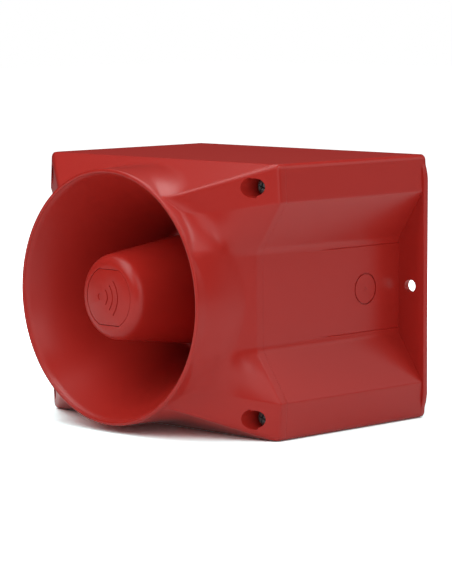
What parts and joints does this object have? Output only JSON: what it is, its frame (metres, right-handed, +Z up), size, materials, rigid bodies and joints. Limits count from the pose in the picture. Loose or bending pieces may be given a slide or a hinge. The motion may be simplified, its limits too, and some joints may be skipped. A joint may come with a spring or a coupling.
{
  "type": "alarm siren",
  "caption": "Wall-mounted alarm siren: red box with notched sides, round flared horn with a central cup, screw-on front, compression driver and circuit board inside.",
  "frame": {"origin": "centre of the flat rear face that goes against the wall", "axes": "+Y out of the rear face into the wall, so the horn faces -Y; +Z up; +X to the right of someone in front of the horn"},
  "size_m": [0.206, 0.1793, 0.166],
  "materials": {
    "red_plastic": "signal-red moulded plastic, smooth and half glossy, with a very fine grain",
    "red_inside": "the same red plastic, duller inside the horn",
    "gasket_rubber": "soft black sealing rubber, matt",
    "brass": "plain turned brass",
    "black_steel": "dark grey coated steel",
    "zinc_steel": "bright zinc-plated steel",
    "cast_aluminium": "die-cast aluminium, slightly grainy",
    "heatsink_aluminium": "black anodised aluminium",
    "black_plastic": "moulded black plastic",
    "capacitor_sleeve": "shrunk dark sleeve over an aluminium can",
    "diaphragm_film": "thin amber resin film",
    "copper_wire": "enamelled copper wire, wound",
    "ferrite": "sintered ferrite, dark grey",
    "board_laminate": "green solder mask on glass laminate",
    "terminal_green": "green moulded terminal plastic",
    "switch_blue": "blue moulded switch plastic",
    "white_plastic": "off-white moulded plastic",
    "lead_red": "red soft insulation",
    "lead_black": "black soft insulation"
  },
  "bodies": {
    "rear": {"rear_housing": "red_plastic", "housing_gasket": "gasket_rubber", "threaded_insert_1": "brass", "threaded_insert_2": "brass", "threaded_insert_3": "brass", "threaded_insert_4": "brass"},
    "front": {"front_housing": "red_plastic", "horn_cup": "red_plastic", "badge_plate": "red_plastic", "tone_tube": "red_inside", "cup_screw": "zinc_steel", "driver_gasket": "gasket_rubber", "throat_plate": "cast_aluminium", "phase_plug": "black_plastic", "chamber_ring": "black_plastic", "top_plate": "zinc_steel", "magnet": "ferrite", "pole_piece": "zinc_steel", "driver_cover": "black_plastic", "driver_screw_1": "zinc_steel", "driver_screw_2": "zinc_steel", "driver_screw_3": "zinc_steel", "driver_screw_4": "zinc_steel", "board_pillar_1": "brass", "board_pillar_2": "brass", "board_pillar_3": "brass", "board_pillar_4": "brass", "board_screw_1": "zinc_steel", "board_screw_2": "zinc_steel", "board_screw_3": "zinc_steel", "board_screw_4": "zinc_steel", "circuit_board": "board_laminate", "supply_terminals": "terminal_green", "control_terminals": "terminal_green", "tone_switch": "switch_blue", "volume_control": "black_plastic", "reservoir_capacitor": "capacitor_sleeve", "filter_capacitor": "capacitor_sleeve", "inductor": "copper_wire", "controller_chip": "black_plastic", "heatsink": "heatsink_aluminium", "power_transistor": "black_plastic", "driver_lead_1": "lead_red", "driver_lead_2": "lead_black"},
    "driver_motor": {"diaphragm": "diaphragm_film", "voice_coil": "copper_wire"},
    "screw_1": {"cover_screw_1": "black_steel"},
    "screw_2": {"cover_screw_2": "black_steel"},
    "screw_3": {"cover_screw_3": "black_steel"},
    "screw_4": {"cover_screw_4": "black_steel"},
    "knob": {"volume_knob": "white_plastic"},
    "slider_1": {"tone_slider_1": "white_plastic"},
    "slider_2": {"tone_slider_2": "white_plastic"},
    "slider_3": {"tone_slider_3": "white_plastic"},
    "slider_4": {"tone_slider_4": "white_plastic"},
    "slider_5": {"tone_slider_5": "white_plastic"}
  },
  "joints": [
    {"name": "cover_lift", "type": "slide", "parent": "rear", "child": "front", "axis": [0, -1, 0], "range_m": [0, 0.15]},
    {"name": "cover_screw_1_turn", "type": "hinge", "parent": "front", "child": "screw_1", "pos_m": [0.089, -0.13, 0.0694], "axis": [0, 1, 0], "continuous": true},
    {"name": "cover_screw_2_turn", "type": "hinge", "parent": "front", "child": "screw_2", "pos_m": [-0.089, -0.13, 0.0694], "axis": [0, 1, 0], "continuous": true},
    {"name": "cover_screw_3_turn", "type": "hinge", "parent": "front", "child": "screw_3", "pos_m": [-0.089, -0.13, -0.0694], "axis": [0, 1, 0], "continuous": true},
    {"name": "cover_screw_4_turn", "type": "hinge", "parent": "front", "child": "screw_4", "pos_m": [0.089, -0.13, -0.0694], "axis": [0, 1, 0], "continuous": true},
    {"name": "diaphragm_stroke", "type": "slide", "parent": "front", "child": "driver_motor", "axis": [0, -1, 0], "range_m": [-0.0004, 0.0004], "stiffness_N_per_m": 4000},
    {"name": "volume_turn", "type": "hinge", "parent": "front", "child": "knob", "pos_m": [0.022, -0.0281, 0.026], "axis": [0, 1, 0], "range_deg": [-135, 135]},
    {"name": "tone_slider_1_slide", "type": "slide", "parent": "front", "child": "slider_1", "axis": [0, 0, 1], "range_m": [0, 0.0016]},
    {"name": "tone_slider_2_slide", "type": "slide", "parent": "front", "child": "slider_2", "axis": [0, 0, 1], "range_m": [0, 0.0016]},
    {"name": "tone_slider_3_slide", "type": "slide", "parent": "front", "child": "slider_3", "axis": [0, 0, 1], "range_m": [0, 0.0016]},
    {"name": "tone_slider_4_slide", "type": "slide", "parent": "front", "child": "slider_4", "axis": [0, 0, 1], "range_m": [0, 0.0016]},
    {"name": "tone_slider_5_slide", "type": "slide", "parent": "front", "child": "slider_5", "axis": [0, 0, 1], "range_m": [0, 0.0016]}
  ]
}
